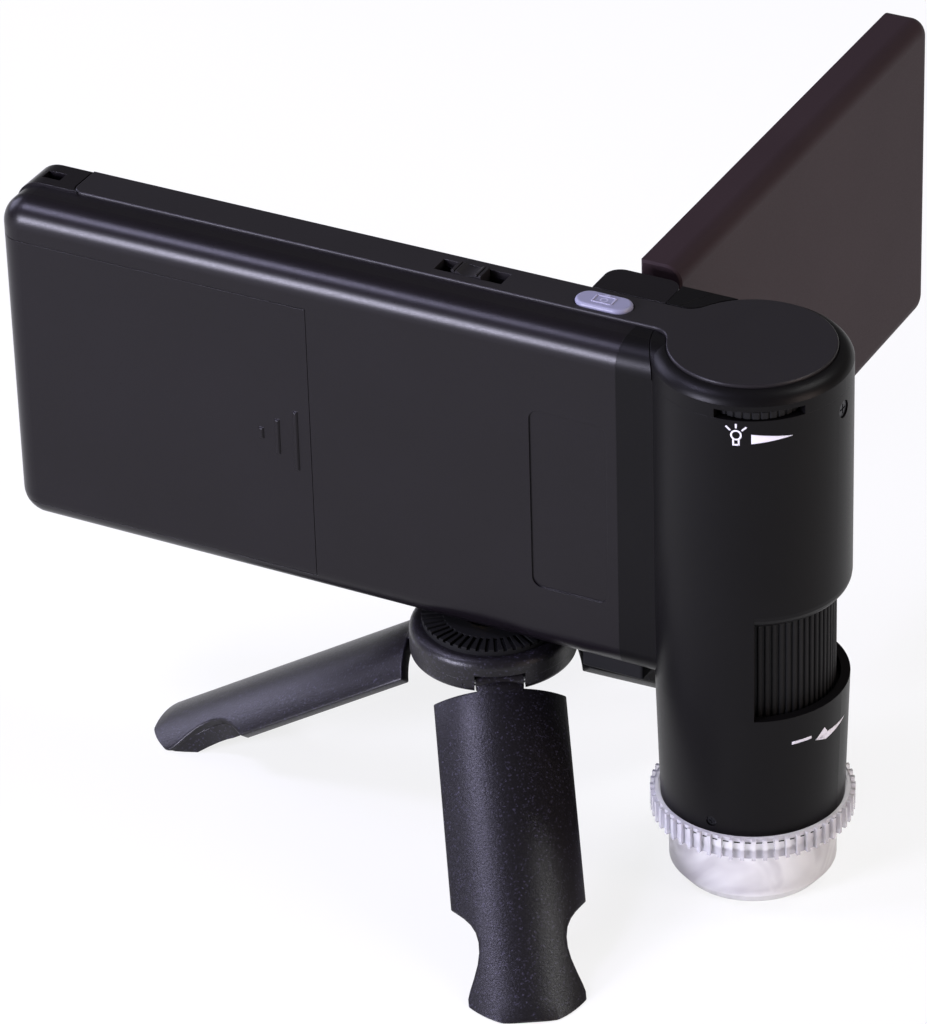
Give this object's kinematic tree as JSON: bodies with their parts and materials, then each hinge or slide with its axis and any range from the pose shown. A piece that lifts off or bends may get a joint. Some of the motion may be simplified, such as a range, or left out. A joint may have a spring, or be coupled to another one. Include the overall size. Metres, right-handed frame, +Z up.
{
  "type": "handheld lcd digital microscope",
  "caption": "Handheld digital microscope: flat body with swing-out screen, camera head with focus wheel, clear nose cap over ring lamps, and a folding table tripod.",
  "frame": {"origin": "on the work surface, under the middle of the whole object's footprint with the lid open and the tripod spread", "axes": "+X from the body's end to the camera head, +Y the way the open lid points, +Z up"},
  "size_m": [0.1686, 0.1956, 0.1114],
  "materials": {
    "body_plastic": "satin, slightly metallic charcoal",
    "trim_plastic": "semi-gloss dark inlay",
    "lid_plastic": "satin brown-grey",
    "button_plastic": "satin pale lavender-grey",
    "leg_plastic": "coarse sparkle texture",
    "cap_plastic": "frosted clear acrylic",
    "ring_plastic": "clear acrylic",
    "soft_rubber": "matt",
    "wheel_rubber": "matt, ribbed",
    "bright_steel": "plated",
    "brass_insert": "turned",
    "battery_pack": "foil wrapped",
    "circuit_board": "solder mask",
    "sensor_chip": "dark glass window",
    "optic_glass": "polished",
    "screen_glass": "polished",
    "display_panel": "dark display",
    "lamp_resin": "clear resin",
    "inner_plastic": "matt black"
  },
  "bodies": {
    "body": {"rear_shell": "body_plastic", "front_shell": "body_plastic", "battery": "battery_pack", "battery_contacts": "brass_insert", "main_board": "circuit_board", "board_screws": "bright_steel", "switch_board": "circuit_board", "top_plate": "trim_plastic", "charging_socket": "bright_steel", "head_housing": "body_plastic", "head_cap": "body_plastic", "head_screws": "bright_steel", "dimmer_board": "circuit_board", "camera_board": "circuit_board", "image_sensor": "sensor_chip", "focus_guide": "inner_plastic", "led_board": "circuit_board", "led_lamps": "lamp_resin", "hinge_block_top": "body_plastic", "hinge_block_bottom": "body_plastic", "hinge_pin": "bright_steel", "tripod_socket": "brass_insert"},
    "battery_cover": {"battery_cover": "body_plastic"},
    "power_switch": {"power_switch_knob": "trim_plastic"},
    "snapshot_button": {"snapshot_button": "button_plastic"},
    "port_cover": {"port_cover": "soft_rubber"},
    "brightness_wheel": {"brightness_wheel": "wheel_rubber"},
    "focus_wheel": {"focus_wheel": "wheel_rubber"},
    "lens_carriage": {"lens_carriage": "inner_plastic", "carriage_pins": "bright_steel", "front_lens": "optic_glass", "rear_lens": "optic_glass"},
    "nose_cap": {"knurled_ring": "ring_plastic", "clear_cap": "cap_plastic"},
    "lid_hinge": {"hinge_knuckle": "body_plastic", "tilt_shaft": "bright_steel"},
    "lid": {"tilt_bracket": "bright_steel", "lid_back": "lid_plastic", "lid_bezel": "trim_plastic", "lid_screws": "bright_steel", "screen_glass": "screen_glass", "lcd_panel": "display_panel", "lid_board": "circuit_board"},
    "tripod": {"tripod_hub_upper": "leg_plastic", "tripod_hub_lower": "leg_plastic", "tripod_pad": "soft_rubber", "tripod_screw": "bright_steel", "leg_pins": "bright_steel"},
    "tripod_leg_1": {"tripod_leg_1": "leg_plastic"},
    "tripod_leg_2": {"tripod_leg_2": "leg_plastic"},
    "tripod_leg_3": {"tripod_leg_3": "leg_plastic"},
    "menu_key_ok": {"menu_key_ok": "button_plastic"},
    "menu_key_up": {"menu_key_up": "button_plastic"},
    "menu_key_down": {"menu_key_down": "button_plastic"},
    "menu_key_left": {"menu_key_left": "button_plastic"},
    "menu_key_right": {"menu_key_right": "button_plastic"}
  },
  "joints": [
    {"name": "battery_cover_slide", "type": "slide", "parent": "body", "child": "battery_cover", "axis": [-1, 0, 0], "range_m": [0, 0.068]},
    {"name": "power_switch_slide", "type": "slide", "parent": "body", "child": "power_switch", "axis": [1, 0, 0], "range_m": [-0.0028, 0.0028]},
    {"name": "snapshot_press", "type": "slide", "parent": "body", "child": "snapshot_button", "axis": [0, 0, -1], "range_m": [0, 0.0006], "stiffness_N_per_m": 1500, "springref_m": -0.0004},
    {"name": "port_cover_pull", "type": "slide", "parent": "body", "child": "port_cover", "axis": [0, 0, -1], "range_m": [0, 0.006]},
    {"name": "brightness_turn", "type": "hinge", "parent": "body", "child": "brightness_wheel", "pos_m": [0.06968, -0.03995, 0.106], "axis": [0, 0, 1], "range_deg": [-135, 135]},
    {"name": "focus_turn", "type": "hinge", "parent": "body", "child": "focus_wheel", "pos_m": [0.0654, -0.03238, 0.052], "axis": [0, 0, 1], "range_deg": [-150, 150]},
    {"name": "lens_travel", "type": "slide", "parent": "body", "child": "lens_carriage", "axis": [0, 0, 1], "range_m": [-0.006, 0.006]},
    {"name": "nose_cap_pull", "type": "slide", "parent": "body", "child": "nose_cap", "axis": [0, 0, -1], "range_m": [0, 0.012]},
    {"name": "lid_swing", "type": "hinge", "parent": "body", "child": "lid_hinge", "pos_m": [0.0382, -0.02188, 0.0774], "axis": [0, 0, 1], "range_deg": [0, 90]},
    {"name": "lid_tilt", "type": "hinge", "parent": "lid_hinge", "child": "lid", "pos_m": [0.0382, -0.01388, 0.0774], "axis": [0, 1, 0], "range_deg": [0, 180]},
    {"name": "tripod_turn", "type": "hinge", "parent": "body", "child": "tripod", "pos_m": [0.0136, -0.03503, 0.04], "axis": [0, 0, 1], "range_deg": [-15, 15]},
    {"name": "leg_1_fold", "type": "hinge", "parent": "tripod", "child": "tripod_leg_1", "pos_m": [0.02049, -0.04605, 0.0353], "axis": [0.848, 0.5299, 0], "range_deg": [0, 58]},
    {"name": "leg_2_fold", "type": "hinge", "parent": "tripod", "child": "tripod_leg_2", "pos_m": [0.0197, -0.02355, 0.0353], "axis": [-0.8829, 0.4695, 0], "range_deg": [0, 58]},
    {"name": "leg_3_fold", "type": "hinge", "parent": "tripod", "child": "tripod_leg_3", "pos_m": [0.00061, -0.03548, 0.0353], "axis": [0.0349, -0.9994, 0], "range_deg": [0, 58]},
    {"name": "menu_ok_press", "type": "slide", "parent": "body", "child": "menu_key_ok", "axis": [0, -1, 0], "range_m": [0, 0.0005], "stiffness_N_per_m": 1500, "springref_m": -0.0004},
    {"name": "menu_up_press", "type": "slide", "parent": "body", "child": "menu_key_up", "axis": [0, -1, 0], "range_m": [0, 0.0005], "stiffness_N_per_m": 1500, "springref_m": -0.0004},
    {"name": "menu_down_press", "type": "slide", "parent": "body", "child": "menu_key_down", "axis": [0, -1, 0], "range_m": [0, 0.0005], "stiffness_N_per_m": 1500, "springref_m": -0.0004},
    {"name": "menu_left_press", "type": "slide", "parent": "body", "child": "menu_key_left", "axis": [0, -1, 0], "range_m": [0, 0.0005], "stiffness_N_per_m": 1500, "springref_m": -0.0004},
    {"name": "menu_right_press", "type": "slide", "parent": "body", "child": "menu_key_right", "axis": [0, -1, 0], "range_m": [0, 0.0005], "stiffness_N_per_m": 1500, "springref_m": -0.0004}
  ],
  "couplings": [
    {"joint": "lens_travel", "follows": "focus_turn", "m_per_rad": 0.0022918}
  ]
}
